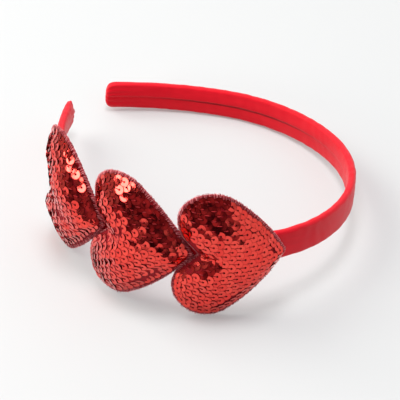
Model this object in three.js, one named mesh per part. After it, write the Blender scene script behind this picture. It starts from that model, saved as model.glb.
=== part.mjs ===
// Heart headband: a satin wrapped C hoop with three padded hearts in a row along one arm.
// Millimetres, +Z up, lying at rest. The crown of the hoop points to -Y, its two open ends to +Y,
// and the hearts sit on the -X arm with their tips toward the crown.
import * as THREE from 'three';
import { ParametricGeometry } from 'three/addons/geometries/ParametricGeometry.js';
import { mergeVertices } from 'three/addons/utils/BufferGeometryUtils.js';

// Hoop centreline: arcs from the crown round to an end, the same on both arms
const HOOP_ARCS = [
  { part: 'crown', radius: 56.6, turnDeg: 84.9 },
  { part: 'side', radius: 72.2, turnDeg: 41.4 },
  { part: 'end', radius: 151.0, turnDeg: 18.5 },
];
const HEART_ARM_SHORTER = 5.0;
const END_DROOP = 6.1;

// Band: satin over a flat core, lapped along the middle of the inner face
const BAND_WIDTH = 12.7;
const BAND_END_WIDTH = 11.4;
const TAPER_START = 0.35;
const END_ROUND = 5.4;
const END_POWER = 2.3;
const END_NOSE = 1.5;
const BAND_STEP = 4.6;
const BAND_OUT = 1.75;
const END_STATIONS = [0, 0.15, 0.5, 1.1, 2.0, 3.4, 5.2];
const BAND_PROFILE = [
  { across: 0.86, out: 1.62 },
  { across: 0.45, out: 1.72 },
  { across: 0.0, out: 1.75 },
  { across: -0.45, out: 1.72 },
  { across: -0.86, out: 1.62 },
  { across: -0.97, out: 1.05 },
  { across: -1.0, out: 0.1 },
  { across: -0.97, out: -0.9 },
  { across: -0.86, out: -1.42 },
  { across: -0.4, out: -1.5 },
  { across: 0.02, out: -1.5 },
  { across: 0.07, out: -1.85 },
  { across: 0.45, out: -1.82 },
  { across: 0.86, out: -1.6 },
  { across: 0.97, out: -0.95 },
  { across: 1.0, out: 0.05 },
  { across: 0.97, out: 1.05 },
];

// Heart outline: round lobes behind, a V notch between them and gently bowed sides to the tip
const LOBE_RADIUS = 13.2;
const LOBE_BEHIND = 12.5;
const LOBE_SPREAD = 14.9;
const SIDE_RADIUS = 80;
const NOTCH_DEG = 222;
const HEART_CENTRE = 5.0;
const HALF_STEPS = 28;

// Heart layers: a flat cloth back glued to the band and a stuffed pad set in from its edge
const SEAT_GAP = 0.35;
const BACK_THICK = 1.2;
const PAD_SCALE = 0.955;
const PAD_EDGE = 0.9;
const PAD_HEIGHT = 6.2;
const DOME_POWER = 2.2;
const DOME_ROUND = 0.75;
const FLAT_RINGS = [0, 0.25, 0.5, 0.75];
const DOME_RINGS = [0.975, 0.92, 0.83, 0.71, 0.56, 0.38, 0.19, 0];

// Hearts along the arm: place of the origin along the band, height on it, turn in its plane,
// share of the band's bend it follows, outward lean of its upper lobe, and reach of its tip,
// which is pushed back where it meets the notch of the next heart
const HEARTS = [
  { name: 'heart_crown', along: -26.25, up: -1.15, turnDeg: -0.4, bend: 0.97, lean: 0.02, tipAhead: 17.5 },
  { name: 'heart_middle', along: -62.98, up: -0.88, turnDeg: -2.87, bend: 0.97, lean: 0.053, tipAhead: 17.7 },
  { name: 'heart_end', along: -97.41, up: 0.96, turnDeg: -6.1, bend: 0.97, lean: 0.132, tipAhead: 15.0 },
];

// Lie of the whole headband on the table: hearts prop the -X arm, the other arm lies on the table
const REST_PITCH_DEG = -3.625;
const REST_ROLL_DEG = 10.22;

const COLOURS = {
  band: { color: 0xc8202c, roughness: 0.45, metalness: 0.0 },
  back: { color: 0x6e1620, roughness: 0.9, metalness: 0.0 },
  pad: { color: 0xb81822, roughness: 0.35, metalness: 0.3 },
};

const rad = THREE.MathUtils.degToRad;
const HALF_LENGTH = HOOP_ARCS.reduce((sum, arc) => sum + arc.radius * rad(arc.turnDeg), 0);

// Centreline point and outward direction at a signed length from the crown
function hoopAt(along) {
  const side = Math.sign(along) || 1;
  let left = Math.abs(along);
  let heading = 0;
  let x = 0;
  let y = -HOOP_ARCS[0].radius;
  HOOP_ARCS.forEach((arc, i) => {
    const length = arc.radius * rad(arc.turnDeg);
    const last = i === HOOP_ARCS.length - 1;
    const turn = (last ? left : Math.min(left, length)) / arc.radius;
    x += arc.radius * (Math.sin(heading + turn) - Math.sin(heading));
    y += arc.radius * (Math.cos(heading) - Math.cos(heading + turn));
    heading += turn;
    left -= Math.min(left, length);
  });
  const droop = END_DROOP * (along / HALF_LENGTH) ** 2;
  return {
    point: new THREE.Vector3(side * x, y, -droop),
    outward: new THREE.Vector3(side * Math.sin(heading), -Math.cos(heading), 0),
  };
}

// Closed surface from a function of two steps; rows at both ends shrink to a point
function closedSurface(at, around, rows) {
  const fill = (u, v, target) => target.copy(at(Math.round(u * around) % around, Math.round(v * rows)));
  const grid = new ParametricGeometry(fill, around, rows);
  grid.deleteAttribute('normal');
  grid.deleteAttribute('uv');
  const joined = mergeVertices(grid, 1e-4);
  const index = joined.index.array;
  const kept = [];
  for (let i = 0; i < index.length; i += 3) {
    const [a, b, c] = [index[i], index[i + 1], index[i + 2]];
    if (a !== b && b !== c && c !== a) {
      kept.push(a, b, c);
    }
  }
  joined.setIndex(kept);
  return joined;
}

// Quarter round from 0 at the end to 1 at a given distance in, squarer with a higher power
function roundIn(distance, size, power) {
  const t = 1 - Math.min(distance / size, 1);
  return (1 - t ** power) ** (1 / power);
}

function bandStations() {
  const first = -HALF_LENGTH + HEART_ARM_SHORTER;
  const innerFirst = first + END_ROUND + 1;
  const innerLast = HALF_LENGTH - END_ROUND - 1;
  const count = Math.round((innerLast - innerFirst) / BAND_STEP);
  const inner = Array.from({ length: count + 1 }, (_, i) => innerFirst + ((innerLast - innerFirst) * i) / count);
  return [
    ...END_STATIONS.map((d) => first + d),
    ...inner,
    ...END_STATIONS.map((d) => HALF_LENGTH - d).reverse(),
  ];
}

// The satin band: its profile carried along the hoop, narrowing to two rounded ends
function bandGeometry() {
  const stations = bandStations();
  const first = stations[0];
  const last = stations[stations.length - 1];
  const at = (i, j) => {
    const along = stations[j];
    const share = Math.abs(along) / HALF_LENGTH;
    const taper = THREE.MathUtils.clamp((share - TAPER_START) / (1 - TAPER_START), 0, 1);
    const fromEnd = Math.min(along - first, last - along);
    const width = THREE.MathUtils.lerp(BAND_WIDTH, BAND_END_WIDTH, taper) * roundIn(fromEnd, END_ROUND, END_POWER);
    const { across, out } = BAND_PROFILE[i];
    const { point, outward } = hoopAt(along);
    point.addScaledVector(outward, out * roundIn(fromEnd, END_NOSE, 2));
    point.z += (across * width) / 2;
    return point;
  };
  return closedSurface(at, BAND_PROFILE.length, stations.length - 1);
}

// Heart outline points, up from the lower lobe over the tip to the upper lobe and the notch
function heartOutline(tipAhead) {
  const lobe = new THREE.Vector2(-LOBE_BEHIND, LOBE_SPREAD);
  const fromTip = lobe.clone().sub(new THREE.Vector2(tipAhead, 0));
  const reach = SIDE_RADIUS - LOBE_RADIUS;
  const cosine = (fromTip.lengthSq() + reach ** 2 - SIDE_RADIUS ** 2) / (2 * reach * fromTip.length());
  const meet = fromTip.angle() - Math.acos(cosine);
  const sideCentre = lobe.clone().sub(new THREE.Vector2(Math.cos(meet), Math.sin(meet)).multiplyScalar(reach));
  const tipAngle = Math.atan2(-sideCentre.y, tipAhead - sideCentre.x);
  const start = rad(NOTCH_DEG);
  const cheek = lobe.clone().add(new THREE.Vector2(Math.cos(start), Math.sin(start)).multiplyScalar(LOBE_RADIUS));
  const path = new THREE.Path();
  path.moveTo(cheek.x + cheek.y * Math.tan(start), 0);
  path.lineTo(cheek.x, cheek.y);
  path.absarc(lobe.x, lobe.y, LOBE_RADIUS, start, meet, true);
  path.absarc(sideCentre.x, sideCentre.y, SIDE_RADIUS, meet, tipAngle, true);
  const upper = path.getSpacedPoints(HALF_STEPS);
  const lower = upper.slice(1, -1).reverse().map((p) => new THREE.Vector2(p.x, -p.y));
  return [...upper, ...lower].reverse();
}

// Place on a heart: ahead along the band, up across it and out from the centreline
function heartPoint(heart, ahead, up, out) {
  const turn = rad(heart.turnDeg);
  const a = ahead * Math.cos(turn) - up * Math.sin(turn);
  const b = ahead * Math.sin(turn) + up * Math.cos(turn);
  const offset = out + b * heart.lean + Math.abs(heart.lean) * 0.5 * BAND_WIDTH;
  const bent = hoopAt(heart.along + a);
  const bentPoint = bent.point.clone().addScaledVector(bent.outward, offset);
  const middle = hoopAt(heart.along);
  const forward = new THREE.Vector3(-middle.outward.y, middle.outward.x, 0);
  const flatPoint = middle.point.clone().addScaledVector(forward, a).addScaledVector(middle.outward, offset);
  const point = flatPoint.lerp(bentPoint, heart.bend);
  point.z = bent.point.z + b + heart.up;
  return point;
}

// A heart layer from rows of (size, out): scaled outlines lifted off the band
function layerGeometry(heart, outline, rows) {
  const at = (i, j) => {
    const { size, out } = rows[j];
    const ahead = -HEART_CENTRE + size * (outline[i].x + HEART_CENTRE);
    return heartPoint(heart, ahead, size * outline[i].y, out);
  };
  return closedSurface(at, outline.length, rows.length - 1);
}

// The flat cloth back: its two faces and its cut edge
function backRows() {
  const inner = BAND_OUT + SEAT_GAP;
  const outer = inner + BACK_THICK;
  return [
    ...FLAT_RINGS.map((size) => ({ size, out: inner })),
    { size: 0.985, out: inner },
    { size: 1, out: inner + 0.3 * BACK_THICK },
    { size: 1, out: inner + 0.7 * BACK_THICK },
    { size: 0.985, out: outer },
    ...FLAT_RINGS.map((size) => ({ size, out: outer })).reverse(),
  ];
}

// The stuffed pad: flat underneath, a low edge, then a dome over the whole heart
function padRows() {
  const base = BAND_OUT + 2 * SEAT_GAP + BACK_THICK;
  const dome = (size) => PAD_EDGE + (PAD_HEIGHT - PAD_EDGE) * (1 - size ** DOME_POWER) ** DOME_ROUND;
  return [
    ...FLAT_RINGS.map((size) => ({ size: size * PAD_SCALE, out: base })),
    { size: 0.97 * PAD_SCALE, out: base },
    { size: PAD_SCALE, out: base + 0.35 * PAD_EDGE },
    { size: PAD_SCALE, out: base + PAD_EDGE },
    ...DOME_RINGS.map((size) => ({ size: size * PAD_SCALE, out: base + dome(size) })),
  ];
}

function piece(name, geometry, look) {
  const mesh = new THREE.Mesh(geometry, new THREE.MeshStandardMaterial(look));
  mesh.name = name;
  return mesh;
}

const pieces = [piece('band', bandGeometry(), COLOURS.band)];
for (const heart of HEARTS) {
  const outline = heartOutline(heart.tipAhead);
  pieces.push(piece(`${heart.name}_back`, layerGeometry(heart, outline, backRows()), COLOURS.back));
  pieces.push(piece(`${heart.name}_pad`, layerGeometry(heart, outline, padRows()), COLOURS.pad));
}

// Lay the headband down and put the origin under the middle of its box
const lie = new THREE.Matrix4().makeRotationX(rad(REST_PITCH_DEG));
lie.multiply(new THREE.Matrix4().makeRotationY(rad(REST_ROLL_DEG)));
const box = new THREE.Box3();
for (const mesh of pieces) {
  mesh.geometry.applyMatrix4(lie);
  mesh.geometry.computeBoundingBox();
  box.union(mesh.geometry.boundingBox);
}
const centre = box.getCenter(new THREE.Vector3());
const headband = new THREE.Group();
headband.name = 'heart_headband';
for (const mesh of pieces) {
  mesh.geometry.translate(-centre.x, -centre.y, -box.min.z);
  headband.add(mesh);
}

export default headband;
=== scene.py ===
"""Heart headband: a satin wrapped hoop with three stuffed, sequinned hearts along one arm.

It lies on a table with the crown toward -Y, its open ends toward +Y and the hearts on the -X arm.
Sizes are in millimetres unless a name says otherwise, and meshes are in metres.
"""

import math

import bpy
import numpy as np
from mathutils import Matrix


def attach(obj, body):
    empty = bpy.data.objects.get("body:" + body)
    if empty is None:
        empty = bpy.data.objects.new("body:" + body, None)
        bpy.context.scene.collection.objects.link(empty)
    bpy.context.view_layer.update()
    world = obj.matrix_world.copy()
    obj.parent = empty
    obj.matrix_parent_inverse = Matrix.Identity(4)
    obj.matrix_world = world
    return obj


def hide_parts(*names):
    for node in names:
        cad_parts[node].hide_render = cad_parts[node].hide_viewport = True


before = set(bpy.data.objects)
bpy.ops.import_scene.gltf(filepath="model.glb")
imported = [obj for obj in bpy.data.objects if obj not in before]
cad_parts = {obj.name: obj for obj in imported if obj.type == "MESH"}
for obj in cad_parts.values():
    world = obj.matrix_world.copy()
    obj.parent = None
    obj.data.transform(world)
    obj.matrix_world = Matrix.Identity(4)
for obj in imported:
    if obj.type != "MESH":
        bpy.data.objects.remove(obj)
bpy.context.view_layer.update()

# Satin band
# A flat sprung core wrapped in red satin ribbon. The ribbon is lapped and glued along the
# middle of the inner face, and tucked in small pleats over the two rounded ends.
MM = 0.001
# Radius and turn in degrees of each arc of the hoop, from its crown to an end.
HOOP_ARCS = ((56.6, 84.9), (72.2, 41.4), (151.0, 18.5))
HALF_LENGTH = sum(radius * math.radians(turn) for radius, turn in HOOP_ARCS)
HEART_ARM_SHORTER = 5.0
END_DROOP = 6.1
REST_PITCH_DEG = -3.625
REST_ROLL_DEG = 10.22
REST_SHIFT = (3.8537, -8.2845, 19.4954)

BAND_WIDTH = 12.7
BAND_END_WIDTH = 11.4
BAND_OUT = 1.75
BAND_STEPS = 400
TAPER_FROM = 0.35
END_ROUND = 4.6
END_POWER = 3.2
END_NOSE = 1.5
END_STEPS = (0, 0.05, 0.15, 0.32, 0.6, 0.95, 1.4, 2.0, 2.7, 3.5, 4.4, 5.4)
END_CLEAR = 6.3
FOLDED_CORNER = 4.5
FOLD_REACH = 5.0
WRAP_STEPS = 88
LAP_CORNER = (0.02, -1.55)
# Share of half the band's width, and distance out from the middle of the core.
RIBBON_PROFILE = (
    (0.86, 1.62), (0.45, 1.72), (0.0, 1.75), (-0.45, 1.72), (-0.86, 1.62), (-0.97, 1.05),
    (-1.0, 0.1), (-0.97, -0.9), (-0.86, -1.4), (-0.4, -1.52), LAP_CORNER, (0.06, -1.95),
    (0.45, -1.78), (0.86, -1.42), (0.97, -0.9), (1.0, 0.05), (0.97, 1.05),
)

CREASE_SEED = 11
CREASES = 9
CREASE_HEIGHT = 0.035
CREASE_WAVE = (4.0, 13.0)
CREASE_SLANT = 0.9
CREASE_DRIFT = (24, 60)
PLEAT_HEIGHT = 0.4
PLEAT_WAVE = 5.1
PLEAT_TWIST = 0.04
PLEAT_MEAN = 0.6
PLEAT_REACH = 7.0
PLEAT_START = 1.2

THREAD_DEPTH = 0.05
BLOTCH_DETAIL = 4.0
BLOTCH_ROUGH = 0.6
BLOTCH_SPREAD = (0.3, 0.7)
SHEEN_ROUGH = 0.4
SATIN_SHINE_TINT = (1.0, 0.12, 0.08, 1)
# Painted shade under the lap's edge, a thin dark line: its place below the lap, its full and end distances
# and its most darkness, then the middle and the full and end distances of the stretch along the band where
# it shows.
LAP_UNDER = 0.25
LAP_REACH = (0.2, 0.8)
LAP_SHADE_MOST = 0.6
LAP_SHADE_MIDDLE = 128.0
LAP_SHADE_SPREAD = (12.0, 46.0)


def hoop_at(along):
    """Centreline points and outward directions at signed lengths from the crown.

    Each arc in turn adds radius times (sin, cos) of the heading it has turned through; the heart
    arm is the mirror image, and the height falls with the square of the length.
    """
    along = np.asarray(along, float)
    side = np.where(along < 0, -1.0, 1.0)
    left = np.abs(along)
    heading = np.zeros_like(left)
    x = np.zeros_like(left)
    y = np.full_like(left, -HOOP_ARCS[0][0])
    for number, (radius, turn_deg) in enumerate(HOOP_ARCS):
        length = radius * math.radians(turn_deg)
        spent = left if number == len(HOOP_ARCS) - 1 else np.minimum(left, length)
        turn = spent / radius
        x = x + radius * (np.sin(heading + turn) - np.sin(heading))
        y = y + radius * (np.cos(heading) - np.cos(heading + turn))
        heading = heading + turn
        left = left - np.minimum(left, length)
    droop = END_DROOP * (along / HALF_LENGTH) ** 2
    point = np.stack([side * x, y, -droop], -1)
    outward = np.stack([side * np.sin(heading), -np.cos(heading), np.zeros_like(heading)], -1)
    return point, outward


def lay_down(points):
    """Rolls about Y, then pitches about X, then shifts to the resting place: millimetres to metres."""
    p, r = math.radians(REST_PITCH_DEG), math.radians(REST_ROLL_DEG)
    pitch = np.array([[1, 0, 0], [0, math.cos(p), -math.sin(p)], [0, math.sin(p), math.cos(p)]])
    roll = np.array([[math.cos(r), 0, math.sin(r)], [0, 1, 0], [-math.sin(r), 0, math.cos(r)]])
    return (points @ (pitch @ roll).T + np.array(REST_SHIFT)) * MM


def run_length(line):
    """Length along a line of points, from 0 at its first point to the whole at its last."""
    return np.concatenate([[0], np.cumsum(np.linalg.norm(np.diff(line, axis=0), axis=1))])


def at_length(marks, length, line):
    """Points of a line at given lengths along it, in proportion between its own points."""
    return np.stack([np.interp(marks, length, line[:, k]) for k in (0, 1)], -1)


def unit(vectors):
    """Vectors divided by their lengths."""
    return vectors / np.linalg.norm(vectors, axis=-1, keepdims=True)


def closed_surface(name, points, u_marks, v_marks):
    """A closed mesh from a grid of points [row, place round the row].

    Quads join neighbouring rows and close round each row; the first and last rows are single
    points and get fans. UV is u_marks round the row and v_marks along the rows, in millimetres.
    The enclosed volume's sign tells whether the rows run the wrong way, and turns them round.
    """
    a, b, c = points[:-1], np.roll(points[:-1], -1, 1), points[1:]
    if np.sum(np.cross(a, b) * c) < 0:
        points, u_marks = points[:, ::-1], u_marks[::-1]
    rows, around = points.shape[:2]
    count = (rows - 2) * around
    verts = np.concatenate([points[1:-1].reshape(-1, 3), points[:1, 0], points[-1:, 0]])
    i = np.arange(around)
    n = (i + 1) % around
    base = (np.arange(rows - 3) * around)[:, None]
    quads = np.stack([base + i, base + n, base + around + n, base + around + i], -1).reshape(-1, 4)
    start = np.stack([np.full(around, count), n, i], -1)
    far = (rows - 3) * around
    end = np.stack([far + i, far + n, np.full(around, count + 1)], -1)
    mesh = bpy.data.meshes.new(name)
    mesh.from_pydata(verts.tolist(), [], quads.tolist() + start.tolist() + end.tolist())

    def uv(u, v):
        return np.stack(np.broadcast_arrays(u, v), -1)

    u0, u1 = u_marks[:-1], u_marks[1:]
    v0, v1 = v_marks[1:-2, None], v_marks[2:-1, None]
    middle = (u0 + u1) / 2
    quad_uv = np.stack([uv(u0, v0), uv(u1, v0), uv(u1, v1), uv(u0, v1)], 2)
    start_uv = np.stack([uv(middle, v_marks[0]), uv(u1, v_marks[1]), uv(u0, v_marks[1])], 1)
    end_uv = np.stack([uv(u0, v_marks[-2]), uv(u1, v_marks[-2]), uv(middle, v_marks[-1])], 1)
    layer = mesh.uv_layers.new(name="UVMap")
    layer.data.foreach_set("uv", np.concatenate(
        [quad_uv.ravel(), start_uv.ravel(), end_uv.ravel()]).astype(np.float32))
    mesh.shade_smooth()
    piece = bpy.data.objects.new(name, mesh)
    bpy.context.scene.collection.objects.link(piece)
    return piece


def round_in(distance, size, power):
    """Quarter round from 0 at an end to 1 at a distance in from it, squarer with a higher power."""
    return np.maximum(0, 1 - (1 - np.minimum(distance / size, 1)) ** power) ** (1 / power)


def ribbon_outline():
    """The ribbon's wrap in even steps round it, its corners softened by averaging neighbours, the
    length round it at each step, and that of the lap."""
    corners = np.array(RIBBON_PROFILE + RIBBON_PROFILE[:1])
    length = run_length(corners * np.array([BAND_WIDTH / 2, 1.0]))
    marks = np.linspace(0, length[-1], WRAP_STEPS + 1)
    loop = at_length(marks[:-1], length, corners)
    for _ in range(2):
        loop = 0.25 * np.roll(loop, 1, 0) + 0.5 * loop + 0.25 * np.roll(loop, -1, 0)
    return loop, marks, length[RIBBON_PROFILE.index(LAP_CORNER)]


def ribbon_creases(along, round_mm, from_end):
    """Height of the ribbon's creases.

    Slanted ripples, each a sine along the band that fades in and out along it, plus pleats that
    run lengthwise and die away from each end.
    """
    rng = np.random.default_rng(CREASE_SEED)
    height = np.zeros(np.broadcast(along, round_mm).shape)
    for _ in range(CREASES):
        wave = rng.uniform(*CREASE_WAVE)
        slant = rng.uniform(-CREASE_SLANT, CREASE_SLANT)
        drift = rng.uniform(*CREASE_DRIFT)
        shift, fade = rng.uniform(0, 2 * math.pi, 2)
        ripple = np.sin(2 * math.pi * (along + slant * round_mm) / wave + shift)
        height += CREASE_HEIGHT * ripple * np.maximum(0, np.sin(2 * math.pi * along / drift + fade))
    pleat = np.abs(np.sin(2 * math.pi * round_mm / PLEAT_WAVE + PLEAT_TWIST * along)) - PLEAT_MEAN
    fade = np.exp(-from_end / PLEAT_REACH) * np.minimum(from_end / PLEAT_START, 1)
    return height + PLEAT_HEIGHT * pleat * fade


def band_points():
    """The ribbon's wrap carried along the hoop, tapering to its two rounded ends; at the hearts' end
    the upper inner corner is folded down."""
    first, last = -HALF_LENGTH + HEART_ARM_SHORTER, HALF_LENGTH
    nose = np.array(END_STEPS)
    inner = np.linspace(first + END_CLEAR, last - END_CLEAR, BAND_STEPS)
    along = np.concatenate([first + nose, inner, last - nose[::-1]])
    loop, round_mm, lap_mm = ribbon_outline()
    edge = (np.roll(loop, -1, 0) - np.roll(loop, 1, 0)) * np.array([BAND_WIDTH / 2, 1.0])
    facing = unit(np.stack([-edge[:, 1], edge[:, 0]], -1))
    facing = facing * np.sign(np.sum(facing * loop))
    from_end = np.minimum(along - first, last - along)
    taper = np.clip((np.abs(along) / HALF_LENGTH - TAPER_FROM) / (1 - TAPER_FROM), 0, 1)
    width = BAND_WIDTH + (BAND_END_WIDTH - BAND_WIDTH) * taper
    width = width * round_in(from_end, END_ROUND, END_POWER)
    crease = ribbon_creases(along[:, None], round_mm[None, :-1], from_end[:, None])
    thin = round_in(from_end, END_NOSE, 2)[:, None]
    out = (loop[None, :, 1] + crease * facing[None, :, 1]) * thin
    rise = loop[None, :, 0] * width[:, None] / 2 + crease * facing[None, :, 0] * thin
    corner = np.clip(-loop[:, 1] / BAND_OUT, 0, 1) * np.clip(loop[:, 0], 0, 1)
    rise = rise - FOLDED_CORNER * corner[None] * np.exp(-((along[:, None] - first) / FOLD_REACH) ** 2)
    point, outward = hoop_at(along)
    points = point[:, None] + out[..., None] * outward[:, None]
    points[..., 2] += rise
    return lay_down(points), round_mm, along, lap_mm


def math_node(tree, operation, *values):
    """A value worked out from one or two others, each a socket or a number."""
    node = tree.nodes.new("ShaderNodeMath")
    node.operation = operation
    for socket, value in zip(node.inputs, values):
        if isinstance(value, (int, float)):
            socket.default_value = value
        else:
            tree.links.new(value, socket)
    return node.outputs[0]


def range_node(tree, value, start, end, smooth):
    """A value carried from one range to another, in a straight line or a smooth one."""
    node = tree.nodes.new("ShaderNodeMapRange")
    node.interpolation_type = "SMOOTHSTEP" if smooth else "LINEAR"
    for label, number in zip(("From Min", "From Max", "To Min", "To Max"), (*start, *end)):
        node.inputs[label].default_value = number
    tree.links.new(value, node.inputs["Value"])
    return node.outputs[0]


def tint_node(tree, value, dark, pale, spread):
    """A colour that goes from dark to pale as a value goes from the spread's start to its end."""
    node = tree.nodes.new("ShaderNodeValToRGB")
    for number, colour in enumerate((dark, pale)):
        node.color_ramp.elements[number].position = spread[number]
        node.color_ramp.elements[number].color = (*colour, 1)
    tree.links.new(value, node.inputs[0])
    return node.outputs[0]


def darken(finish, keep):
    """Multiplies a finish's colour by a value."""
    nodes, link = finish.node_tree.nodes, finish.node_tree.links.new
    darker = nodes.new("ShaderNodeVectorMath")
    darker.operation = "SCALE"
    link(nodes["Color Ramp"].outputs[0], darker.inputs[0])
    link(keep, darker.inputs["Scale"])
    link(darker.outputs[0], nodes["Principled BSDF"].inputs["Base Color"])


def weave_group():
    """Crossed fine threads with a soft blotch, from UV in millimetres.

    The height is the sum of a sine across the threads of each way of the cloth. The shade is a
    noise, drawn out along the cloth by the stretch.
    """
    group = bpy.data.node_groups.new("woven threads", "ShaderNodeTree")
    for label, kind, way in (
        ("UV", "Vector", "INPUT"), ("Thread mm", "Float", "INPUT"), ("Blotch mm", "Float", "INPUT"),
        ("Stretch", "Float", "INPUT"), ("Height", "Float", "OUTPUT"), ("Shade", "Float", "OUTPUT"),
    ):
        group.interface.new_socket(name=label, in_out=way, socket_type="NodeSocket" + kind)
    nodes, link = group.nodes, group.links.new
    given, put = nodes.new("NodeGroupInput"), nodes.new("NodeGroupOutput")
    split = nodes.new("ShaderNodeSeparateXYZ")
    link(given.outputs["UV"], split.inputs[0])
    turn = math_node(group, "DIVIDE", 2 * math.pi, given.outputs["Thread mm"])
    threads = [
        math_node(group, "SINE", math_node(group, "MULTIPLY", split.outputs[axis], turn))
        for axis in ("X", "Y")]
    link(math_node(group, "ADD", *threads), put.inputs["Height"])
    drawn = nodes.new("ShaderNodeCombineXYZ")
    link(split.outputs["X"], drawn.inputs["X"])
    link(math_node(group, "DIVIDE", split.outputs["Y"], given.outputs["Stretch"]), drawn.inputs["Y"])
    blotch = nodes.new("ShaderNodeTexNoise")
    blotch.inputs["Detail"].default_value = BLOTCH_DETAIL
    blotch.inputs["Roughness"].default_value = BLOTCH_ROUGH
    link(drawn.outputs[0], blotch.inputs["Vector"])
    link(math_node(group, "DIVIDE", 1.0, given.outputs["Blotch mm"]), blotch.inputs["Scale"])
    link(blotch.outputs[0], put.inputs["Shade"])
    return group


WOVEN = weave_group()


def cloth_finish(name, dark, pale, thread_mm, blotch_mm, stretch, rough, bump, sheen, sheen_tint, shine):
    """Woven cloth: two close colours and two roughnesses mixed by the blotch, threads as bump."""
    finish = bpy.data.materials.new(name)
    finish.use_nodes = True
    tree = finish.node_tree
    nodes, link = tree.nodes, tree.links.new
    shader = nodes["Principled BSDF"]
    place = nodes.new("ShaderNodeUVMap")
    place.uv_map = "UVMap"
    woven = nodes.new("ShaderNodeGroup")
    woven.node_tree = WOVEN
    for label, value in (("Thread mm", thread_mm), ("Blotch mm", blotch_mm), ("Stretch", stretch)):
        woven.inputs[label].default_value = value
    link(place.outputs[0], woven.inputs["UV"])
    shade = woven.outputs["Shade"]
    link(tint_node(tree, shade, dark, pale, BLOTCH_SPREAD), shader.inputs["Base Color"])
    link(range_node(tree, shade, BLOTCH_SPREAD, rough, smooth=False), shader.inputs["Roughness"])
    raised = nodes.new("ShaderNodeBump")
    raised.inputs["Strength"].default_value = bump
    raised.inputs["Distance"].default_value = THREAD_DEPTH * MM
    link(woven.outputs["Height"], raised.inputs["Height"])
    link(raised.outputs[0], shader.inputs["Normal"])
    for label, value in (
        ("Sheen Weight", sheen), ("Sheen Roughness", SHEEN_ROUGH), ("Sheen Tint", (*sheen_tint, 1)),
        ("Specular IOR Level", shine),
    ):
        shader.inputs[label].default_value = value
    return finish


def lap_painted_shade(finish, lap_mm):
    """Paints shade as a thin dark line just under the lap's edge. The colour is multiplied by one less a
    share that falls to nothing within a millimetre on either side of that place round the ribbon, and fades
    out along the band at both ends of the stretch where the painted shade shows."""
    tree = finish.node_tree
    split = tree.nodes.new("ShaderNodeSeparateXYZ")
    tree.links.new(tree.nodes["UV Map"].outputs[0], split.inputs[0])
    shares = []
    for axis, middle, reach, most in (
        ("X", lap_mm - LAP_UNDER, LAP_REACH, LAP_SHADE_MOST), ("Y", LAP_SHADE_MIDDLE, LAP_SHADE_SPREAD, 1.0),
    ):
        away = math_node(tree, "ABSOLUTE", math_node(tree, "SUBTRACT", split.outputs[axis], middle))
        shares.append(range_node(tree, away, reach, (most, 0.0), smooth=True))
    darken(finish, math_node(tree, "SUBTRACT", 1.0, math_node(tree, "MULTIPLY", *shares)))


satin = cloth_finish(
    "red satin", (0.61, 0.007, 0.02), (0.73, 0.012, 0.027), thread_mm=0.28, blotch_mm=5.0, stretch=7.0,
    rough=(0.38, 0.5), bump=0.25, sheen=0.05, sheen_tint=(1.0, 0.15, 0.1), shine=0.45)
satin.node_tree.nodes["Principled BSDF"].inputs["Specular Tint"].default_value = SATIN_SHINE_TINT

points, round_mm, along_mm, lap_mm = band_points()
band = closed_surface("satin_band", points, round_mm, along_mm)
# Painted shade: a dark line just under the lap's edge, over part of the band's length.
lap_painted_shade(satin, lap_mm)
band.data.materials.append(satin)
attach(band, "root")
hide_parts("band")

# Heart backs
# A stiff felted cloth heart behind each pad, glued to the outside of the band and bent with it.
# It stands a millimetre proud of the pad all round, where the two are overcast together.
LOBE_RADIUS = 13.2
LOBE_BEHIND = 12.5
LOBE_SPREAD = 14.9
SIDE_RADIUS = 80.0
NOTCH_DEG = 222.0
CURVE_STEPS = 400
HEART_CENTRE = 5.0
HEART_BEND = 0.97
SEAT_GAP = 0.35
BACK_THICK = 0.85
BACK_STEPS = 84
BACK_RINGS = (0, 0.12, 0.3, 0.5, 0.7, 0.86, 0.95, 0.982)
# Size of the outline and distance from the nearer face, over the rounded rim of the felt.
BACK_RIM = ((0.994, 0.12), (1.0, 0.4))
# Length over a layer from its middle to its edge, and the least length from row to row.
LAYER_REACH = 22
LEAST_REACH = 0.2
HEARTS = (
    {"name": "heart_crown", "along": -26.25, "up": -1.15, "turn": -0.4, "lean": 0.02, "tip": 17.5},
    {"name": "heart_middle", "along": -62.98, "up": -0.88, "turn": -2.87, "lean": 0.053, "tip": 18.2},
    {"name": "heart_end", "along": -97.41, "up": 0.96, "turn": -6.1, "lean": 0.132, "tip": 15.5},
)


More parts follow.
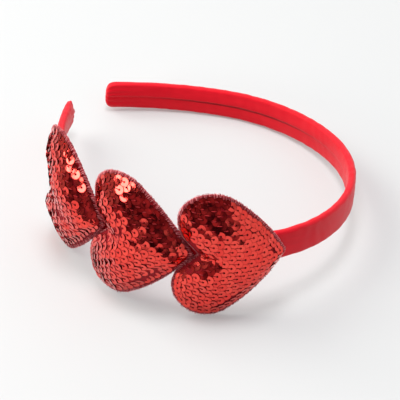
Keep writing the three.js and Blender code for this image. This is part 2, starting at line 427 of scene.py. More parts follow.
def half_heart(tip_ahead, count):
    """Upper half of a heart's edge from the notch to the tip, in even steps.

    A straight cheek leaves the notch, a circle rounds the lobe, and a wide arc that touches the
    circle bows to the tip.
    """
    lobe = np.array([-LOBE_BEHIND, LOBE_SPREAD])
    from_tip = lobe - np.array([tip_ahead, 0.0])
    far = np.linalg.norm(from_tip)
    reach = SIDE_RADIUS - LOBE_RADIUS
    cosine = (far ** 2 + reach ** 2 - SIDE_RADIUS ** 2) / (2 * reach * far)
    meet = math.atan2(from_tip[1], from_tip[0]) - math.acos(cosine)
    side = lobe - reach * np.array([math.cos(meet), math.sin(meet)])
    tip = math.atan2(-side[1], tip_ahead - side[0])
    start = math.radians(NOTCH_DEG)
    turn = np.linspace(start, meet, CURVE_STEPS)
    bow = np.linspace(meet, tip, CURVE_STEPS)
    round_lobe = lobe + LOBE_RADIUS * np.stack([np.cos(turn), np.sin(turn)], -1)
    cheek = round_lobe[0]
    notch = np.array([[cheek[0] + cheek[1] * math.tan(start), 0.0]])
    side_bow = side + SIDE_RADIUS * np.stack([np.cos(bow), np.sin(bow)], -1)
    line = np.concatenate([notch, round_lobe, side_bow[1:]])
    length = run_length(line)
    return at_length(np.linspace(0, length[-1], count + 1), length, line)


def heart_outline(tip_ahead, count):
    """The whole edge: the upper half from notch to tip, then its mirror image back."""
    upper = half_heart(tip_ahead, count)
    return np.concatenate([upper, upper[-2:0:-1] * np.array([1.0, -1.0])])


def heart_place(heart, ahead, up, out):
    """Point on a heart: ahead along the band, up across it, out from the centreline.

    The flat heart is turned in its plane, then each point is taken most of the way from the
    heart's own flat plane to the bent band, by the share of the bend that the heart follows.
    """
    turn = math.radians(heart["turn"])
    a = ahead * math.cos(turn) - up * math.sin(turn)
    b = ahead * math.sin(turn) + up * math.cos(turn)
    offset = (out + b * heart["lean"] + abs(heart["lean"]) * 0.5 * BAND_WIDTH)[..., None]
    bent, bent_out = hoop_at(heart["along"] + a)
    middle, outward = hoop_at(heart["along"])
    forward = np.array([-outward[1], outward[0], 0.0])
    flat = middle + a[..., None] * forward + offset * outward
    point = flat + HEART_BEND * (bent + offset * bent_out - flat)
    point[..., 2] = bent[..., 2] + b + heart["up"]
    return lay_down(point)


def heart_layer(heart, outline, rows):
    """Grid of a heart layer from rows of (size, out): outlines scaled about the centre, lifted."""
    size, out = np.array(rows).T[:, :, None]
    ahead = -HEART_CENTRE + size * (outline[None, :, 0] + HEART_CENTRE)
    up = size * outline[None, :, 1]
    return heart_place(heart, ahead, up, out + 0 * up), ahead, up


def edge_marks(outline):
    """Running length round an outline, from 0 to its whole length."""
    return run_length(np.concatenate([outline, outline[:1]]))


def row_marks(rows):
    """Running length over a layer's rows: the change of size from row to row times the layer's reach."""
    sizes = [size for size, _ in rows]
    return np.cumsum(np.concatenate([[0], np.abs(np.diff(sizes)) * LAYER_REACH + LEAST_REACH]))


felt = cloth_finish(
    "dark red felt", (0.34, 0.028, 0.042), (0.52, 0.065, 0.08), thread_mm=0.55, blotch_mm=1.6, stretch=1.0,
    rough=(0.8, 0.95), bump=0.6, sheen=0.3, sheen_tint=(0.9, 0.35, 0.38), shine=0.2)

BACK_INNER = BAND_OUT + SEAT_GAP
BACK_OUTER = BACK_INNER + BACK_THICK
back_rows = [(size, BACK_INNER) for size in BACK_RINGS]
back_rows += [(size, BACK_INNER + rise) for size, rise in BACK_RIM]
back_rows += [(size, BACK_OUTER - rise) for size, rise in BACK_RIM[::-1]]
back_rows += [(size, BACK_OUTER) for size in BACK_RINGS[::-1]]
for heart in HEARTS:
    back_edge = heart_outline(heart["tip"], BACK_STEPS)
    points, _, _ = heart_layer(heart, back_edge, back_rows)
    back = closed_surface(heart["name"] + "_felt", points, edge_marks(back_edge), row_marks(back_rows))
    back.data.materials.append(felt)
    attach(back, "root")
    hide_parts(heart["name"] + "_back")

# Stuffed pads
# A red net cloth heart filled with loose wadding, sewn down round its edge on the felt back, so
# it domes in the middle, puckers at the sewn edge and sinks a little toward the notch.
PAD_SCALE = 0.955
PAD_EDGE = 0.2
PAD_ROUND = 0.07
PAD_HEIGHT = 6.8
PAD_BASE = BACK_OUTER + 0.03
PAD_STEPS = 56
PAD_FLOOR_RINGS = (0, 0.3, 0.6, 0.85, 0.975)
PAD_RINGS = (0.985, 0.95, 0.9, 0.84, 0.77, 0.69, 0.6, 0.5, 0.4, 0.3, 0.2, 0.1, 0.0)
DOME_POWER = 2.1
DOME_FULLNESS = 0.92
LUMP_SEED = 40
LUMPS = 3
LUMP_HEIGHT = 0.28
LUMP_WAVE = (17, 27)
LUMP_SHIFT = 6
LUMP_FADE = 0.35
VALLEY_DEEP = 2.3
VALLEY_WIDE = 4.5
VALLEY_BEHIND = 2
VALLEY_RUN = 14
PUCKER_HEIGHT = 0.14
PUCKERS = 31
PUCKER_UNEVEN = 5
PUCKER_RING = 0.9
PUCKER_WIDE = 0.07
PUFF_SCALE = 20.0
PUFF_FRAMES = 20
PUFF_QUALITY = 6
PUFF_MASS = 0.3
PUFF_PRESSURE = 4.0
PAD_RISE_CAP = 1.0

net_cloth = cloth_finish(
    "dark red net", (0.24, 0.003, 0.008), (0.36, 0.006, 0.014), thread_mm=0.8, blotch_mm=2.0, stretch=1.0,
    rough=(0.55, 0.75), bump=0.8, sheen=0.05, sheen_tint=(0.8, 0.2, 0.2), shine=0.15)


def pad_lumps(number, ahead, up, size):
    """Height change of the stuffing: slow sine ripples less a bell-shaped valley that deepens to the
    notch, both fading at the edge, plus puckers in a narrow ring near it."""
    rng = np.random.default_rng(LUMP_SEED + number)
    lump = np.zeros_like(ahead)
    for _ in range(LUMPS):
        heading = rng.uniform(0, math.pi)
        wave = rng.uniform(*LUMP_WAVE)
        across = ahead * math.cos(heading) + up * math.sin(heading)
        lump += LUMP_HEIGHT * np.sin(2 * math.pi * across / wave + rng.uniform(0, LUMP_SHIFT))
    deepening = np.clip((-VALLEY_BEHIND - ahead) / VALLEY_RUN, 0, 1)
    valley = VALLEY_DEEP * np.exp(-(up / VALLEY_WIDE) ** 2) * deepening
    turn = np.arctan2(up, ahead + HEART_CENTRE)
    pucker = PUCKER_HEIGHT * np.sin(PUCKERS * turn + 2 * np.sin(PUCKER_UNEVEN * turn))
    pucker = pucker * np.exp(-((size - PUCKER_RING) / PUCKER_WIDE) ** 2)
    return (lump - valley) * np.clip((1 - size) / LUMP_FADE, 0, 1) + pucker


def plump(piece, free):
    """Swells a copy twenty times as large with cloth pressure, and moves the piece by what the copy
    moved, shrunk again and capped."""
    count = len(piece.data.vertices)
    start = np.zeros(count * 3, np.float32)
    piece.data.vertices.foreach_get("co", start)
    puff = piece.copy()
    puff.data = piece.data.copy()
    bpy.context.scene.collection.objects.link(puff)
    puff.data.vertices.foreach_set("co", start * PUFF_SCALE)
    sewn = puff.vertex_groups.new(name="sewn edge")
    sewn.add(np.flatnonzero(~free).tolist(), 1.0, "REPLACE")
    cloth = puff.modifiers.new("wadding", "CLOTH")
    cloth.settings.quality = PUFF_QUALITY
    cloth.settings.mass = PUFF_MASS
    cloth.settings.use_pressure = True
    cloth.settings.uniform_pressure_force = PUFF_PRESSURE
    cloth.settings.effector_weights.gravity = 0.0
    cloth.settings.vertex_group_mass = "sewn edge"
    cloth.point_cache.frame_start, cloth.point_cache.frame_end = 1, PUFF_FRAMES
    for number in range(1, PUFF_FRAMES + 1):
        bpy.context.scene.frame_set(number)
    swollen = puff.evaluated_get(bpy.context.evaluated_depsgraph_get()).to_mesh()
    end = np.zeros(count * 3, np.float32)
    swollen.vertices.foreach_get("co", end)
    move = ((end / PUFF_SCALE) - start).reshape(-1, 3)
    far = np.linalg.norm(move, axis=1, keepdims=True)
    cap = PAD_RISE_CAP * MM
    move = move * np.where(far > cap, cap / np.maximum(far, 1e-12), 1.0)
    bpy.data.objects.remove(puff)
    bpy.context.scene.frame_set(1)
    piece.data.vertices.foreach_set("co", (start.reshape(-1, 3) + move).ravel())
    piece.data.update()
    return move


def outward_laid(along):
    """Outward directions of the hoop at given lengths, turned as the part lies."""
    _, outward = hoop_at(along)
    return lay_down(outward) - lay_down(outward * 0)


pad_rows = [(size * PAD_SCALE, PAD_BASE) for size in PAD_FLOOR_RINGS]
pad_rows += [(PAD_SCALE, PAD_BASE + PAD_ROUND), (PAD_SCALE, PAD_BASE + PAD_EDGE)]
soft = len(pad_rows)
ring = np.array(PAD_RINGS)
dome = PAD_EDGE + (PAD_HEIGHT - PAD_EDGE) * (1 - ring ** DOME_POWER) ** DOME_FULLNESS
pad_rows += [(size * PAD_SCALE, PAD_BASE + rise) for size, rise in zip(ring, dome)]
# Flat places and heights of each pad's soft top, which the sequins are sewn to.
pad_tops = []
for number, heart in enumerate(HEARTS):
    pad_edge = heart_outline(heart["tip"], PAD_STEPS)
    _, ahead, up = heart_layer(heart, pad_edge, pad_rows)
    out = np.array([level for _, level in pad_rows])[:, None] + 0 * ahead
    out[soft:] += pad_lumps(number, ahead[soft:], up[soft:], ring[:, None] + 0 * ahead[soft:])
    points = heart_place(heart, ahead, up, out)
    pad = closed_surface(heart["name"] + "_stuffed", points, edge_marks(pad_edge), row_marks(pad_rows))
    pad.data.materials.append(net_cloth)
    count, around = len(pad.data.vertices), len(pad_edge)
    free = np.zeros(count, bool)
    free[(soft - 1) * around:(len(pad_rows) - 2) * around] = True
    free[-1] = True
    rise = np.zeros(free.sum())
    move = plump(pad, free)
    lift = outward_laid(heart["along"])
    rise = (move @ lift / np.dot(lift, lift))[free]
    place = np.zeros((count, 2))
    level = np.zeros(count)
    place[:-2] = np.stack([ahead[1:-1].ravel(), up[1:-1].ravel()], -1)
    place[-1] = (ahead[-1, 0], up[-1, 0])
    level[:-2] = out[1:-1].ravel()
    level[-1] = out[-1, 0]
    pad_tops.append((place[free], level[free] + rise))
    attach(pad, "root")
    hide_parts(heart["name"] + "_pad")

# Overcast edge
# Red thread whipped over the rim of every heart, through the pad's edge and round the felt, which
# is what holds the two together; each stitch is one short slanted loop.
OVERCAST_SEED = 70
EDGE_STEPS = 600
STITCH_STEP = 0.8
STEP_JITTER = 0.35
SLANT_MM = 1.3
SLANT_JITTER = 0.7
SIZE_JITTER = 0.007
THREAD_MM = 0.24
# Share of the way along the slant, size of the outline and distance out, of each point of a loop.
LOOP_PATH = np.array([
    (0.0, 0.935, PAD_BASE + 0.8), (0.2, 0.968, PAD_BASE + 0.45), (0.42, 1.0, BACK_OUTER + 0.08),
    (0.58, 1.009, BACK_OUTER - 0.4), (0.78, 1.003, BACK_INNER + 0.05), (1.0, 0.965, BACK_INNER - 0.12),
])
LOOP_THICK = (0.45, 1, 1, 1, 1, 0.45)
# A direction that no loop runs along, from which the corners of the thread are set.
THREAD_BASE = (0.31, 0.22, 0.92)
# Loops that reach under the table's level are pressed flat on it.
PRESSED_FROM = 0.1
PRESSED_SHARE = 0.15


def joined_mesh(name, verts, faces, tags):
    """One mesh from many copies of a small shape: verts [copy, vertex, 3], faces of one copy, and
    values per copy, [copy, 1], or per vertex of a copy, kept as attributes."""
    copies, each = verts.shape[:2]
    every = (np.arange(copies) * each)[:, None, None] + faces[None]
    mesh = bpy.data.meshes.new(name)
    mesh.from_pydata(verts.reshape(-1, 3).tolist(), [], every.reshape(-1, faces.shape[1]).tolist())
    for label, values in tags.items():
        kept = mesh.attributes.new(label, "FLOAT", "POINT")
        kept.data.foreach_set("value", np.broadcast_to(values, (copies, each)).ravel().astype(np.float32))
    piece = bpy.data.objects.new(name, mesh)
    bpy.context.scene.collection.objects.link(piece)
    return piece


def thread_faces(points, turned):
    """Faces of a square tube along a path of points, closed at both ends, for corners that run one way
    round the path or, turned, the other."""
    i = np.arange(4)
    n = (i + 1) % 4
    row = (np.arange(points - 1) * 4)[:, None]
    far = row + 4
    last = 4 * (points - 1) + i
    if turned:
        sides, ends = [row + i, far + i, far + n, row + n], [i, last[::-1]]
    else:
        sides, ends = [row + i, row + n, far + n, far + i], [i[::-1], last]
    return np.concatenate([np.stack(sides, -1).reshape(-1, 4), ends])


def stitch_loops(heart, number):
    """Thread tubes over the rim: a path from the pad over the edge to the back of the felt, with a
    square section carried along it and closed at both ends. Returns vertices [stitch, vertex, 3],
    one stitch's faces and a tone for each stitch."""
    rng = np.random.default_rng(OVERCAST_SEED + number)
    edge = heart_outline(heart["tip"], EDGE_STEPS)
    closed = np.concatenate([edge, edge[:1]])
    marks = run_length(closed)
    count = int(marks[-1] / STITCH_STEP)
    start = (np.arange(count) + rng.uniform(-STEP_JITTER, STEP_JITTER, count)) * marks[-1] / count
    slant = SLANT_MM + rng.normal(0, SLANT_JITTER, (count, 1))
    slide = np.mod(start[:, None] + (LOOP_PATH[None, :, 0] - 0.5) * slant, marks[-1])
    spot = at_length(slide, marks, closed)
    size = LOOP_PATH[None, :, 1] + rng.uniform(-SIZE_JITTER, SIZE_JITTER, (count, 1))
    ahead = -HEART_CENTRE + size * (spot[..., 0] + HEART_CENTRE)
    up = size * spot[..., 1]
    centre = heart_place(heart, ahead, up, LOOP_PATH[None, :, 2] + 0 * up)
    run = unit(np.gradient(centre, axis=1))
    beside = unit(np.cross(run, np.array(THREAD_BASE)))
    over = np.cross(run, beside)
    turn = (np.arange(4) * math.pi / 2)[None, None, :, None]
    thick = THREAD_MM / 2 * MM * np.array(LOOP_THICK)[None, :, None, None]
    tube = centre[:, :, None] + thick * (np.cos(turn) * beside[:, :, None] + np.sin(turn) * over[:, :, None])
    faces = thread_faces(len(LOOP_PATH), turned=False)
    return tube.reshape(count, -1, 3), faces, rng.uniform(0, 1, (count, 1))


def tone_finish(name, dark, pale, rough, metallic):
    """A finish whose colour and roughness run between two values by the tone of each small piece."""
    finish = bpy.data.materials.new(name)
    finish.use_nodes = True
    tree = finish.node_tree
    shader = tree.nodes["Principled BSDF"]
    tone = tree.nodes.new("ShaderNodeAttribute")
    tone.attribute_name = "tone"
    colour = tint_node(tree, tone.outputs["Fac"], dark, pale, (0.0, 1.0))
    tree.links.new(colour, shader.inputs["Base Color"])
    gloss = range_node(tree, tone.outputs["Fac"], (0.0, 1.0), rough, smooth=False)
    tree.links.new(gloss, shader.inputs["Roughness"])
    shader.inputs["Metallic"].default_value = metallic
    return finish


thread = tone_finish(
    "red thread", (0.34, 0.035, 0.05), (0.88, 0.27, 0.28), rough=(0.35, 0.55), metallic=0.0)
for number, heart in enumerate(HEARTS):
    verts, faces, tones = stitch_loops(heart, number)
    lift = verts[..., 2] - PRESSED_FROM * MM
    verts[..., 2] = PRESSED_FROM * MM + np.where(lift < 0, PRESSED_SHARE * lift, lift)
    stitches = joined_mesh(heart["name"] + "_overcasting", verts, faces, {"tone": tones})
    stitches.data.shade_smooth()
    stitches.data.materials.append(thread)
    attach(stitches, "root")

# Sequins
# Flat red metallic film discs with a centre hole, sewn to the net through the hole. One row follows
# the heart's edge; inside it they lie like fish scales in rows across the heart, each row shifted
# by half a sequin and lying on the next row toward the tip.
SEQUIN_MM = 4.0
HOLE_MM = 0.95
FILM_MM = 0.09
CUP_MM = 0.05
DISC_SIDES = 12
INSET_STEPS = 500
EDGE_INSET_TOP = 2.5
EDGE_INSET_LOW = 3.0
EDGE_STEP = 2.7
EDGE_SLACK = 0.05
HEADING_STEP = 0.4
ROW_STEP = 2.3
SEQUIN_STEP = 3.7
ROW_HALF = 8
CLOSEST_MM = 1.35
GRID_CLEAR = 0.3
# The lower edge is this far below the middle, and fades in over a length from behind the lobe.
LOW_BELOW = 7
LOW_BEHIND = 22
LOW_FADE = 6
# By the notch, rows stop at the cheeks instead of an edge row, and extra places fill the notch.
CHEEK_WIDE = 7.5
CHEEK_BEHIND = 8
CHEEK_CLEAR_TOP = 2.3
CHEEK_CLEAR_LOW = 1.6
MIDDLE_CLEAR = 0.1
FILL_WIDE = 2.5
FILL_BEHIND = 9
SEQUIN_SEEDS = (9140, 9171, 9042)
SEQUIN_LIFT = 0.36
SEAT_STEP = 0.9
SEAT_BLUR = 1.1
PLACE_JITTER = 0.13
TILT_JITTER_DEG = 2.2
SHINGLE_DEG = 3.5
EDGE_LEAN_DEG = 8.0
LOOSE_SHARE = 0.02
LOOSE_DEG = (6, 14)
# A tip that is tucked against the next heart is pushed up, so its inner sequins face up more.
TUCKED_DEG = (0.0, 12.0, 12.0)
TUCKED_FROM = 13.0
TUCKED_FADE = 5
TUCKED_LOW = 5.5
TUCKED_LOW_FADE = 2
# Painted shade round each disc's rim: where it starts and ends on the way from hole to rim, and the share of
# the colour kept at the rim.
RIM_FROM = (0.84, 0.97)
RIM_SHADE = 0.45
SEWING_MM = 0.34
# Along the disc and out from it, from the hole to the edge away from the tip.
SEWING_ARCH = ((0.0, -0.1), (-0.35, 0.13), (-1.25, 0.15), (-2.05, 0.0))


def edge_depth(spots, edge, inward):
    """How far inside the edge each place lies: its distance from the nearest point of the edge,
    negative on the outer side."""
    nearest = np.argmin(((spots[:, None] - edge[None]) ** 2).sum(2), axis=1)
    across = spots - edge[nearest]
    return np.linalg.norm(across, axis=1) * np.sign((across * inward[nearest]).sum(1))


def lower_edge(spots):
    """One along the heart's lower edge, falling to nothing round the lobe, and nothing elsewhere."""
    return np.where(spots[:, 1] < -LOW_BELOW, np.clip((spots[:, 0] + LOW_BEHIND) / LOW_FADE, 0, 1), 0.0)


def edge_inset(spots):
    """How far inside the heart's edge the edge row stands, further along the lower edge."""
    return EDGE_INSET_TOP + (EDGE_INSET_LOW - EDGE_INSET_TOP) * lower_edge(spots)


def spaced(line):
    """Places in even steps of about one edge step along a line, and the line's heading there."""
    length = run_length(line)
    number = int(length[-1] / EDGE_STEP)
    marks = (np.arange(number) + 0.5) * length[-1] / number
    heading = at_length(marks + HEADING_STEP, length, line) - at_length(marks - HEADING_STEP, length, line)
    return at_length(marks, length, line), unit(heading)


def sequin_rows(tip_ahead):
    """Flat places of one heart's sequins, the heading of each and whether it is in the edge row.

    The edge row is the heart's edge moved inward, further at the lower edge. The others stand on a
    grid of rows across the heart, every other row shifted by half a step, as far as they are clear
    of the edge row.
    """
    edge = half_heart(tip_ahead, INSET_STEPS)
    run = unit(np.gradient(edge, axis=0))
    inward = np.stack([run[:, 1], -run[:, 0]], -1)
    spots, headings = [], []
    for side in (1.0, -1.0):
        inset = edge_inset(edge * np.array([1.0, side]))
        row = edge + inset[:, None] * inward
        cheek = (row[:, 1] < CHEEK_WIDE) & (row[:, 0] < -CHEEK_BEHIND)
        clear = edge_depth(row, edge, inward) > inset - EDGE_SLACK
        spot, heading = spaced(row[clear & (row[:, 1] > MIDDLE_CLEAR) & ~cheek])
        spots.append(spot * np.array([1.0, side]))
        headings.append(heading * np.array([1.0, side]))
    rim = np.concatenate(spots)
    row = np.arange(edge[:, 0].min(), tip_ahead, ROW_STEP)[:, None]
    shift = 0.5 * (np.arange(len(row))[:, None] % 2)
    place = (np.arange(-ROW_HALF, ROW_HALF + 1)[None] + shift) * SEQUIN_STEP
    grid = np.stack([row + 0 * place, place], -1).reshape(-1, 2)
    between = grid + np.array([0.0, SEQUIN_STEP / 2])
    between = between[(np.abs(between[:, 1]) < FILL_WIDE) & (between[:, 0] < -FILL_BEHIND)]
    grid = np.concatenate([grid, between])
    cheek = (np.abs(grid[:, 1]) < CHEEK_WIDE) & (grid[:, 0] < -CHEEK_BEHIND)
    cheek_clear = np.where(grid[:, 1] > 0, CHEEK_CLEAR_TOP, CHEEK_CLEAR_LOW)
    least = np.where(cheek, cheek_clear, edge_inset(grid) + GRID_CLEAR)
    folded = np.stack([grid[:, 0], np.abs(grid[:, 1])], -1)
    inside = edge_depth(folded, edge, inward) > least
    grid = grid[inside & (np.linalg.norm(grid[:, None] - rim[None], axis=2).min(1) > CLOSEST_MM)]
    spots.append(grid)
    headings.append(np.tile([1.0, 0.0], (len(grid), 1)))
    spots, headings = np.concatenate(spots), np.concatenate(headings)
    return spots, headings, np.arange(len(spots)) < len(rim)


def pad_level(top, spots):
    """Height of the stuffed pad at flat places: its points averaged with a bell weight."""
    known, level = top
    gap = ((spots[:, None] - known[None]) ** 2).sum(2)
    weight = np.exp(-gap / (2 * SEAT_BLUR ** 2))
    return (weight * level).sum(1) / weight.sum(1)


def sequin_discs(heart, number):
    """Discs tangent to the pad, then tipped: the edge nearer the tip stands up, in the edge row the
    inner edge does too, and at a tucked tip the lower edge does.

    A disc is a ring of quads on each face, round its hole and round its rim, very slightly cupped.
    Returns vertices [disc, vertex, 3], one disc's faces, a tone for each, and where the discs sit.
    """
    rng = np.random.default_rng(SEQUIN_SEEDS[number])
    spot, heading, at_edge = sequin_rows(heart["tip"])
    spot = spot + rng.normal(0, PLACE_JITTER, spot.shape)
    count = len(spot)

    def seat(step_ahead, step_up, lift=0.0):
        moved = spot + np.array([step_ahead, step_up])
        return heart_place(heart, moved[:, 0], moved[:, 1], pad_level(pad_tops[number], moved) + lift)

    centre = seat(0.0, 0.0, SEQUIN_LIFT)
    ahead = seat(SEAT_STEP, 0.0) - seat(-SEAT_STEP, 0.0)
    up = seat(0.0, SEAT_STEP) - seat(0.0, -SEAT_STEP)
    normal = unit(np.cross(ahead, up))
    outward = outward_laid(heart["along"] + spot[:, 0])
    normal = normal * np.sign(np.sum(normal * outward, axis=1, keepdims=True))
    along = heading[:, :1] * ahead + heading[:, 1:] * up
    along = unit(along - normal * np.sum(along * normal, axis=1, keepdims=True))
    across = np.cross(normal, along)
    inner = np.sign(spot[:, 1:]) * (heading[:, 1:] * ahead - heading[:, :1] * up)
    across = across * np.sign(np.sum(across * inner, axis=1, keepdims=True))

    tip = np.radians(SHINGLE_DEG + rng.normal(0, TILT_JITTER_DEG, count))[:, None]
    raised = EDGE_LEAN_DEG * at_edge * (1 - lower_edge(spot))
    near_tip = np.clip((spot[:, 0] - heart["tip"] + TUCKED_FROM) / TUCKED_FADE, 0, 1)
    above_low = np.clip((spot[:, 1] + TUCKED_LOW) / TUCKED_LOW_FADE, 0, 1)
    tucked = TUCKED_DEG[number] * near_tip * above_low * np.sign(spot[:, 1]) * ~at_edge
    lean = np.radians(raised + tucked + rng.normal(0, TILT_JITTER_DEG, count))[:, None]
    loose = rng.uniform(0, 1, count) < LOOSE_SHARE
    tip = np.where(loose[:, None], tip + np.radians(rng.uniform(*LOOSE_DEG, (count, 1))), tip)
    along, normal = along * np.cos(tip) + normal * np.sin(tip), normal * np.cos(tip) - along * np.sin(tip)
    across, normal = (
        across * np.cos(lean) + normal * np.sin(lean), normal * np.cos(lean) - across * np.sin(lean))

    spin = rng.uniform(0, math.pi, count)[:, None] + np.arange(DISC_SIDES) * 2 * math.pi / DISC_SIDES
    spin = spin[:, None, :, None]
    radius = np.array([HOLE_MM, SEQUIN_MM, SEQUIN_MM, HOLE_MM])[None, :, None, None] / 2
    height = np.array([1, 1, -1, -1]) * FILM_MM / 2 + np.array([0, 1, 1, 0]) * CUP_MM
    ring = np.cos(spin) * along[:, None, None] + np.sin(spin) * across[:, None, None]
    verts = centre[:, None, None] + MM * (
        radius * ring + height[None, :, None, None] * normal[:, None, None])
    i = np.arange(DISC_SIDES)
    n = (i + 1) % DISC_SIDES
    row = (np.arange(4) * DISC_SIDES)[:, None]
    far = np.roll(row, -1, 0)
    faces = np.stack([row + i, far + i, far + n, row + n], -1).reshape(-1, 4)
    turned = np.sum(np.cross(along, across) * normal, axis=1) < 0
    verts = np.where(turned[:, None, None, None], verts[:, :, ::-1], verts)
    tones = rng.uniform(0, 1, (count, 1))
    across = np.where(turned[:, None], -across, across)
    return verts.reshape(count, -1, 3), faces, tones, (centre, along, across, normal)


def sewing_stitches(centre, along, across, normal):
    """One thread on each disc, out of its hole and over the film to the edge away from the tip: a
    square section carried along a low arch and closed at both ends."""
    arch = np.array(SEWING_ARCH)[:, None]
    corner = np.array([(1, 0), (0, 1), (-1, 0), (0, -1)])[None] * SEWING_MM / 2
    local = np.stack(np.broadcast_arrays(arch[..., 0], corner[..., 0], arch[..., 1] + corner[..., 1]), -1)
    axes = np.stack([along, across, normal], 1)
    verts = centre[:, None] + (local.reshape(-1, 3) * MM)[None] @ axes
    return verts, thread_faces(len(SEWING_ARCH), turned=True)


def painted_rim_shade(finish):
    """Paints shade round the rim of each disc, standing for the shade where the discs overlap: the colour is
    multiplied by a value that falls from one to about a half over the outer tenth of the way from the hole
    to the rim."""
    tree = finish.node_tree
    reach = tree.nodes.new("ShaderNodeAttribute")
    reach.attribute_name = "reach"
    darken(finish, range_node(tree, reach.outputs["Fac"], RIM_FROM, (1.0, RIM_SHADE), smooth=False))


film = tone_finish(
    "red sequin film", (0.80, 0.055, 0.045), (0.90, 0.085, 0.065), rough=(0.07, 0.13), metallic=1.0)
# Painted shade round the rim of every disc, where the discs overlap.
painted_rim_shade(film)
sewing_thread = tone_finish(
    "dark red sewing thread", (0.3, 0.002, 0.006), (0.44, 0.004, 0.01), rough=(0.6, 0.8), metallic=0.0)
disc_reach = np.repeat([0.0, 1.0, 1.0, 0.0], DISC_SIDES)
for number, heart in enumerate(HEARTS):
    verts, faces, tones, seats = sequin_discs(heart, number)
    sequins = joined_mesh(heart["name"] + "_sequins", verts, faces, {"tone": tones, "reach": disc_reach})
    sequins.data.materials.append(film)
    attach(sequins, "root")
    verts, faces = sewing_stitches(*seats)
    sewing = joined_mesh(heart["name"] + "_sewing", verts, faces, {"tone": tones})
    sewing.data.shade_smooth()
    sewing.data.materials.append(sewing_thread)
    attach(sewing, "root")

# Table and light
# A plain white table lit by three soft lamps: a large one high behind on the left, one overhead and
# a low strip beside the hearts. The sequins mirror the room round it, which is pale behind, dim on
# the left and dark behind the viewer, and the near part of the table.
VIEW_TURN_DEG = 38.068
TABLE_HALF = 3.0
TABLE_LEVEL = -0.0002
TABLE_ROUGH = 0.7
TABLE_GLOW = 0.23
TABLE_GRAIN = 3.0
TABLE_DARK = (0.402, 0.415, 0.422)
TABLE_PALE = (0.422, 0.435, 0.442)
# How far the mirrored part of the table reaches to the left and toward the viewer, in metres.
MIRRORED_LEFT = 0.19
MIRRORED_NEAR = 0.38
PART_MIDDLE = np.array([0, 0, 0.02])
HEARTS_MIDDLE = np.array([-0.05, -0.02, 0.03])
# The dark side of the room lies between two upright planes, at these angles from the viewer's side.
DARK_LEFT_DEG = -84.0
DARK_RIGHT_DEG = 33.0
DARK_SOFT = (-0.08, 0.12)
DIM_WALL_DEG = -110.0
DIM_WALL_SPREAD = (0.35, 0.8)
WALL_LIGHT = (0.84, 0.42)
CLUTTER_SCALE = 5.0
CLUTTER_DETAIL = 2.0
CLUTTER_SPREAD = (0.44, 0.72)
CLUTTER_DARK = (0.018, 0.01, 0.025)
CLUTTER_PALE = (0.42, 0.22, 0.28)
BACKDROP = (0.92, 0.92, 0.92, 1)

turn = math.radians(VIEW_TURN_DEG)
ground_look = np.array([math.sin(turn), math.cos(turn), 0.0])
ground_right = np.array([math.cos(turn), -math.sin(turn), 0.0])


def toward_room(turn_deg, rise_deg):
    """Direction at an angle round from the viewer's side, to the right, and an angle above the table."""
    turn_away, rise = math.radians(turn_deg), math.radians(rise_deg)
    level = math.sin(turn_away) * ground_right - math.cos(turn_away) * ground_look
    return math.cos(rise) * level + np.array([0, 0, math.sin(rise)])


def dot_node(tree, place, direction):
    """How far a place lies in a direction: their dot product."""
    dot = tree.nodes.new("ShaderNodeVectorMath")
    dot.operation = "DOT_PRODUCT"
    dot.inputs[1].default_value = direction
    tree.links.new(place, dot.inputs[0])
    return dot.outputs["Value"]


def lamp(name, place, aim, width, height, power, colour):
    """A soft lamp at a place, turned to face a point, its width level."""
    data = bpy.data.lights.new(name, "AREA")
    data.shape = "RECTANGLE"
    data.size, data.size_y = width, height
    data.energy = power
    data.color = colour
    made = bpy.data.objects.new(name, data)
    bpy.context.scene.collection.objects.link(made)
    back = unit(place - aim)
    side = unit(np.cross([0, 0, 1], back))
    rows = np.stack([side, np.cross(back, side), back], 1)
    made.matrix_world = Matrix([[*rows[k], place[k]] for k in range(3)] + [[0, 0, 0, 1]])


corners = [(x * TABLE_HALF, y * TABLE_HALF, TABLE_LEVEL) for x, y in ((-1, -1), (1, -1), (1, 1), (-1, 1))]
floor_mesh = bpy.data.meshes.new("table")
floor_mesh.from_pydata(corners, [], [(0, 1, 2, 3)])
floor = bpy.data.objects.new("table", floor_mesh)
bpy.context.scene.collection.objects.link(floor)
paper = bpy.data.materials.new("white paper")
paper.use_nodes = True
tree = paper.node_tree
sheet = tree.nodes["Principled BSDF"]
sheet.inputs["Roughness"].default_value = TABLE_ROUGH
sheet.inputs["Emission Color"].default_value = (1, 1, 1, 1)
sheet.inputs["Emission Strength"].default_value = TABLE_GLOW
table_place = tree.nodes.new("ShaderNodeTexCoord").outputs["Object"]
grain = tree.nodes.new("ShaderNodeTexNoise")
grain.inputs["Scale"].default_value = TABLE_GRAIN
tree.links.new(table_place, grain.inputs["Vector"])
grain_tint = tint_node(tree, grain.outputs[0], TABLE_DARK, TABLE_PALE, (0.0, 1.0))
tree.links.new(grain_tint, sheet.inputs["Base Color"])
# The camera sees the whole table; mirrors and light see the part that isn't cut off at two sides.
within = [
    math_node(tree, "GREATER_THAN", dot_node(tree, table_place, direction), -limit)
    for direction, limit in ((ground_right, MIRRORED_LEFT), (ground_look, MIRRORED_NEAR))]
seen_directly = tree.nodes.new("ShaderNodeLightPath").outputs["Is Camera Ray"]
shown = math_node(tree, "MAXIMUM", seen_directly, math_node(tree, "MULTIPLY", *within))
tree.links.new(shown, sheet.inputs["Alpha"])
floor_mesh.materials.append(paper)

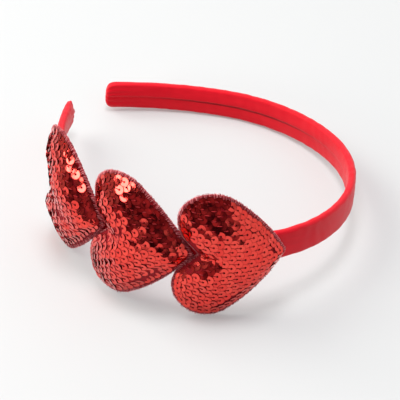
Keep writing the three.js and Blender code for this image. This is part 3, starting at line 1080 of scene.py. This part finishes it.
lamp("high soft lamp", 1.33 * toward_room(-113.0, 37.0), PART_MIDDLE,
     width=1.0, height=1.0, power=17.5, colour=(1.0, 0.985, 0.92))
lamp("overhead soft lamp", 1.3 * toward_room(-160.0, 87.0), PART_MIDDLE,
     width=0.45, height=0.45, power=9.0, colour=(1.0, 1.0, 1.0))
lamp("low strip lamp", HEARTS_MIDDLE + 0.85 * toward_room(-65.0, 18.0), HEARTS_MIDDLE,
     width=0.42, height=0.2, power=2.3, colour=(1.0, 0.97, 0.92))

world = bpy.data.worlds.new("white room")
bpy.context.scene.world = world
world.use_nodes = True
tree = world.node_tree
nodes, link = tree.nodes, tree.links.new
room_place = nodes.new("ShaderNodeTexCoord").outputs["Generated"]
dark_sides = [
    range_node(tree, dot_node(tree, room_place, toward_room(side_deg, 0)), DARK_SOFT, (0, 1), smooth=True)
    for side_deg in (DARK_LEFT_DEG + 90, DARK_RIGHT_DEG - 90)]
dim_wall = dot_node(tree, room_place, toward_room(DIM_WALL_DEG, 0))
clutter = nodes.new("ShaderNodeTexNoise")
clutter.inputs["Scale"].default_value = CLUTTER_SCALE
clutter.inputs["Detail"].default_value = CLUTTER_DETAIL
link(room_place, clutter.inputs["Vector"])
walls = nodes.new("ShaderNodeMixRGB")
link(math_node(tree, "MULTIPLY", *dark_sides), walls.inputs["Fac"])
link(range_node(tree, dim_wall, DIM_WALL_SPREAD, WALL_LIGHT, smooth=True), walls.inputs["Color1"])
link(tint_node(tree, clutter.outputs[0], CLUTTER_DARK, CLUTTER_PALE, CLUTTER_SPREAD), walls.inputs["Color2"])
seen = nodes.new("ShaderNodeMixRGB")
link(nodes.new("ShaderNodeLightPath").outputs["Is Camera Ray"], seen.inputs["Fac"])
link(walls.outputs["Color"], seen.inputs["Color1"])
seen.inputs["Color2"].default_value = BACKDROP
link(seen.outputs["Color"], nodes["Background"].inputs["Color"])
nodes["Background"].inputs["Strength"].default_value = 1.0
bpy.context.scene.view_settings.view_transform = "Standard"

# Camera
# A long lens from the front left, looking down on the hearts. It is placed so that the middle of
# the part, at the aim's height, comes to the aim's place in the picture.
VIEW_DROP_DEG = 40.982
VIEW_ROLL_DEG = -1.274
VIEW_FAR = 2.0
PICTURE_PIXELS = 400
PIXELS_PER_MM = 2.4935
AIM_HEIGHT = 0.025
AIM_PIXEL = (189.74, 155.93)
SENSOR_MM = 36.0
drop, tilt = math.radians(VIEW_DROP_DEG), math.radians(VIEW_ROLL_DEG)
look = math.cos(drop) * ground_look - np.array([0, 0, math.sin(drop)])
above = np.cross(ground_right, look)
right = ground_right * math.cos(tilt) + above * math.sin(tilt)
above = above * math.cos(tilt) - ground_right * math.sin(tilt)
viewer = bpy.data.cameras.new("viewer")
viewer.sensor_width = SENSOR_MM
viewer.lens = SENSOR_MM * PIXELS_PER_MM * VIEW_FAR / MM / PICTURE_PIXELS
viewer.clip_start, viewer.clip_end = 0.05, 20.0
camera = bpy.data.objects.new("viewer", viewer)
bpy.context.scene.collection.objects.link(camera)
off_right, off_down = PICTURE_PIXELS / 2 - AIM_PIXEL[0], PICTURE_PIXELS / 2 - AIM_PIXEL[1]
middle = np.array([0, 0, AIM_HEIGHT]) + MM / PIXELS_PER_MM * (off_right * right - off_down * above)
spot = middle - VIEW_FAR * look
axes = np.stack([right, above, -look], 1)
camera.matrix_world = Matrix([[*axes[k], spot[k]] for k in range(3)] + [[0, 0, 0, 1]])
bpy.context.scene.camera = camera
